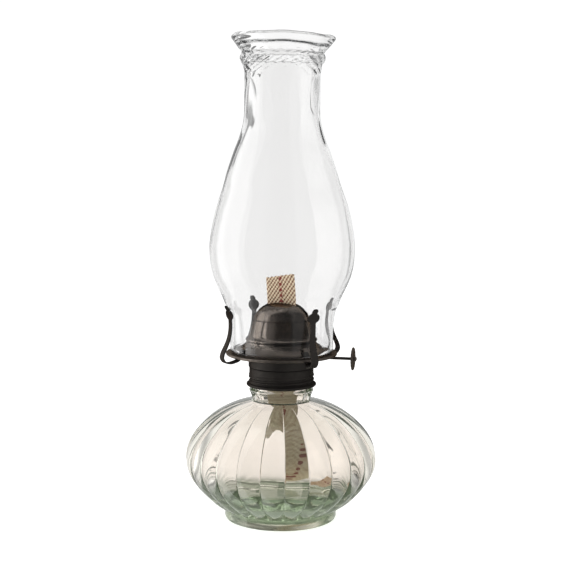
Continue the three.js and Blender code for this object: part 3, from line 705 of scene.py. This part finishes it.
def make_wick(material):
    """One woven tape from its slanting cut top, down the tube and into the font, where it folds over."""
    route = smooth(WICK_ROUTE, 560)
    centre = route[:, :3]
    length = np.concatenate([[0], np.cumsum(np.linalg.norm(np.diff(centre, axis=0), axis=1))])
    along = np.gradient(centre, axis=0)
    along /= np.linalg.norm(along, axis=1, keepdims=True)
    azimuth, tilt = np.radians(route[:, 3]), np.radians(route[:, 4])
    level = np.stack([np.cos(azimuth), np.sin(azimuth), np.tan(tilt)], -1)
    face = np.cross(level, along)
    face /= np.linalg.norm(face, axis=1, keepdims=True)
    level = np.cross(along, face)
    columns = 60
    place = np.linspace(-WICK_WIDTH / 2 + WICK_EDGE, WICK_WIDTH / 2 - WICK_EDGE, columns)
    across, down = np.meshgrid(place, length)
    thick = WICK_HALF - WICK_EDGE + tape_relief(across, down)
    thick *= 0.35 + 0.65 * ease(WICK_WIDTH / 2 - np.abs(across), 0.2, 1.4)
    cut_top = 6
    slant = (across * 0.075 + 0.25 * np.sin(across * 1.7)) * (down < cut_top) * (1 - down / cut_top)
    fray = 0.12 * np.sin(length * TAU / 2.3)
    spread = across * (1 + fray[:, None] * 0.03)
    middle = centre[:, None] + level[:, None] * spread[..., None]
    vertices, tape = [], []
    for side in (-1, 1):
        points = middle + face[:, None] * side * thick[..., None] - along[:, None] * slant[..., None]
        vertices.append(points[:, ::side])
        tape.append(np.stack([across, down], -1)[:, ::side])
    rings = np.concatenate(vertices, axis=1)
    coordinates = np.concatenate(tape, axis=1).reshape(-1, 2) * MM
    rows, around = rings.shape[:2]
    faces = grid_faces(rows, around, False, True)
    for row, flip in ((0, False), (rows - 1, True)):
        base = row * around
        for j in range(columns - 1):
            quad = (base + j, base + j + 1, base + around - 2 - j, base + around - 1 - j)
            faces.append(quad if flip else quad[::-1])
    piece = add_mesh("wick_tape", rings.reshape(-1, 3), faces, 0)
    layer = piece.data.uv_layers.new(name="tape")
    corners = np.empty(len(piece.data.loops), int)
    piece.data.loops.foreach_get("vertex_index", corners)
    layer.data.foreach_set("uv", coordinates[corners].ravel())
    finish_piece(piece, material, "cotton", None, "wick", "wick_tail")
    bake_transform(piece)
    return piece


# ---------------------------------------------------------------- studio
FILL = 0.72
BACKDROP = 1.05
SHADE_REACH = 88

# Brightness by compass direction, in degrees: 0 is straight behind the lamp, -90 its left, 180 the camera.
# What is seen through glass differs between light that was reflected on its way and light that was not.
BENT_ROOM = [(-180, 0.04), (-156, 0.04), (-151, 0.28), (-120, 0.32), (-117, 1.9), (-58, 1.8), (-51, 0.6),
             (-46, 0.45), (-38, 0.95), (-26, 1.08), (28, 1.08), (36, 0.95), (44, 0.6), (58, 0.65),
             (64, 0.06), (180, 0.04)]
PLAIN_ROOM = [(-180, 0.97), (-62, 0.97), (-48, 0.82), (-38, 0.95), (-26, 1.08), (28, 1.08), (36, 0.95),
              (46, 0.82), (60, 0.97), (180, 0.97)]
BENT_HEIGHT = [(-90, 0.4), (-50, 0.42), (-38, 0.5), (-28, 0.75), (-22, 0.92), (-16, 1.0), (25, 1.0),
               (45, 0.5), (90, 0.4)]
MIRRORED_ROOM = [(-180, 0.06), (-148, 0.08), (-144, 0.3), (-110, 0.3), (-106, 1.5), (-60, 1.5),
                 (-50, 0.6), (-20, 0.8), (20, 0.7), (50, 0.3), (120, 0.3), (154, 0.4), (160, 0.08),
                 (180, 0.06)]
FLAGS = [  # narrow dark screens beside the backdrop: from and to, lowest and highest, brightness
    (-21.5, -7.5, 2.1, 60, 0.07), (-24.5, -21, -5, 60, 0.1), (12.5, 14.8, -8, 2.8, 0.12),
    (-25, -23, -40, -5, 0.3), (17, 19.5, -40, -8, 0.3),
]
FLAG_SOFTNESS = math.radians(0.6)


def make_world():
    """White to the eye. Glass bends the dark screens beside the backdrop into its edges."""
    n = Nodes("studio", "World")
    toward = n.add("SeparateXYZ", Vector=n.add("TexCoord").outputs["Generated"]).outputs
    turn = n.math("ARCTAN2", toward["X"], toward["Y"])
    rise = n.math("ARCSINE", toward["Z"])

    def by_angle(angle, whole, stops):
        place = n.math("MULTIPLY_ADD", angle, 1 / math.radians(whole), 0.5)
        return n.ramp(place, *[(degrees / whole + 0.5, (v, v, v)) for degrees, v in stops])

    def inside(angle, low, high):
        middle, half = math.radians((low + high) / 2), math.radians((high - low) / 2)
        away = n.math("ABSOLUTE", n.math("SUBTRACT", angle, middle))
        edge = min(FLAG_SOFTNESS, half)
        return n.fade(away, half - edge, half + edge, 1.0, 0.0)

    path = n.add("LightPath").outputs
    reflected = n.math("GREATER_THAN", path["Glossy Depth"], 0.5)
    bent = n.choose(reflected, by_angle(turn, 360, PLAIN_ROOM), by_angle(turn, 360, BENT_ROOM))
    bent = n.math("MULTIPLY", bent, by_angle(rise, 180, BENT_HEIGHT))
    for left, right, low, high, brightness in FLAGS:
        hidden = n.math("MULTIPLY", inside(turn, left, right), inside(rise, low, high))
        bent = n.math("MULTIPLY", bent, n.math("MULTIPLY_ADD", hidden, brightness - 1, 1.0))
    mirrored = by_angle(turn, 360, MIRRORED_ROOM)
    seen = n.choose(path["Is Glossy Ray"], FILL, mirrored)
    seen = n.choose(path["Is Transmission Ray"], seen, bent)
    seen = n.choose(path["Is Camera Ray"], seen, BACKDROP)
    bpy.context.scene.world = n.surface(n.add("Background", Color=(1, 1, 1, 1), Strength=seen))
    n.owner.cycles.sampling_method = "NONE"


def make_light(name, place, target, size, power, colour):
    """A soft box that lights the lamp and is not seen itself."""
    data = bpy.data.lights.new(name, "AREA")
    data.shape, data.size, data.size_y = "RECTANGLE", size[0], size[1]
    data.energy, data.color = power, colour
    light = bpy.data.objects.new(name, data)
    light.location = place
    light.rotation_euler = (Vector(target) - Vector(place)).to_track_quat("-Z", "Y").to_euler()
    light.visible_camera = light.visible_transmission = light.visible_glossy = False
    LAMP.objects.link(light)


def make_shade():
    """The lamp's own soft shadow on the table, which only shows through the glass of its foot and bowl."""
    steps = 64
    ring = [(radius * math.cos(t), radius * math.sin(t), 0) for radius in (0.01, SHADE_REACH)
            for t in np.arange(steps) * TAU / steps]
    shade = add_mesh("table_shade", ring, grid_faces(2, steps, False, True), 0)
    n = Nodes("table_shade")
    place = n.add("SeparateXYZ", Vector=n.add("TexCoord").outputs["Object"]).outputs
    squares = [n.math("POWER", place[axis], 2.0) for axis in "XY"]
    away = n.math("SQRT", n.math("ADD", *squares))
    dark = n.fade(away, 40 * MM, SHADE_REACH * MM, 0.88, 0.0)
    grey = n.add("Emission", Color=(0.2, 0.26, 0.19, 1), Strength=1.0)
    n.surface(n.add("MixShader", i0=dark, i1=n.add("BsdfTransparent").outputs[0], i2=grey.outputs[0]))
    shade.data.materials.append(n.owner)
    shade.location.z = -0.0001
    shade.visible_camera = shade.visible_glossy = shade.visible_diffuse = shade.visible_shadow = False
    return shade


def make_floor():
    """Wide pale paper, a hair below the shade."""
    n = Nodes("pale_floor")
    colour = n.ramp(n.noise(3, 2.0), (0.3, (0.93, 0.93, 0.93)), (0.7, (0.95, 0.95, 0.95)))
    paper = n.add("BsdfDiffuse", Color=colour)
    glow = n.add("Emission", Color=(1, 1, 1, 1), Strength=0.36)
    n.surface(n.add("AddShader", i0=paper.outputs[0], i1=glow.outputs[0]))
    size = 60000
    corners = [(-size, -size, 0), (size, -size, 0), (size, size, 0), (-size, size, 0)]
    floor = add_mesh("floor", corners, [(0, 1, 2, 3)])
    floor.data.materials.append(n.owner)
    floor.location.z = -0.0002
    floor.visible_transmission = floor.visible_glossy = False
    return floor


def make_studio():
    bpy.context.scene.view_settings.view_transform = "Standard"
    make_world()
    make_light("soft_left", (-1.15, 0.12, 0.5), (0, 0, 0.2), (1.0, 1.2), 8, (1.0, 0.96, 0.92))
    make_light("soft_right", (1.15, 0.45, 0.75), (0, 0, 0.15), (0.7, 0.7), 3, (1.0, 0.95, 0.89))
    make_light("soft_top", (0, -0.2, 1.5), (0, 0, 0.1), (1.2, 1.2), 7, (1, 1, 1))
    floor = make_floor()
    make_shade()


# ---------------------------------------------------------------- the lamp
make_camera()
make_studio()

# Each glass's glow is painted light: a faint emission in its volume.
green_glass = glass("font_glass", tint=(1.0, 0.94, 0.905), ripple=0.05, absorb=((0.36, 0.55, 0.27), 13.0),
                    glow=((0.82, 0.97, 0.68), 1.5), frost=0.2)
clear_glass = glass("chimney_glass", tint=(0.95, 0.947, 0.945), ripple=0.02,
                    absorb=((0.6, 0.68, 0.66), 6.0), glow=((0.9, 0.95, 1.0), 0.5))
bronzed = bronze("bronzed_metal", dark=(0.2, 0.172, 0.15), light=(0.26, 0.226, 0.198),
                 roughness=0.13, spun=0.08, matte=0.01)
blackened = bronze("blackened_metal", dark=(0.036, 0.0335, 0.032), light=(0.066, 0.06, 0.055),
                   roughness=0.2, spun=0.1, matte=0.25)
inner_metal = dull("inner_metal", dark=(0.16, 0.12, 0.075), light=(0.32, 0.26, 0.17),
                   roughness=0.42, metallic=1.0, scale=120)
rubber = dull("rubber", dark=(0.015, 0.015, 0.015), light=(0.03, 0.03, 0.028),
              roughness=0.75, metallic=0.0, scale=300)
woven = cotton("cotton")

make_font(green_glass)
make_chimney(clear_glass)
make_screw_cap(blackened)
make_air_basket(blackened)
make_gallery(bronzed)
make_dome(bronzed)
for number, (azimuth, sideways) in enumerate(zip(PRONG_AZIMUTHS, PRONG_SIDEWAYS), 1):
    make_prong(number, azimuth, sideways, blackened)
make_shaft(blackened)
make_sleeve(blackened)
make_thumb_wheel(bronzed)
make_rivet(bronzed)
make_wick(woven)

# Hidden parts that show their CAD shape.
node_looks = {"sealing_washer": rubber}
for node in ("base_plate", "air_diffuser", "wick_tube", "spur_wheel_1", "spur_wheel_2", "spur_wheel_3"):
    node_looks[node] = inner_metal
for node, look in node_looks.items():
    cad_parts[node].data.materials.clear()
    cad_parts[node].data.materials.append(look)
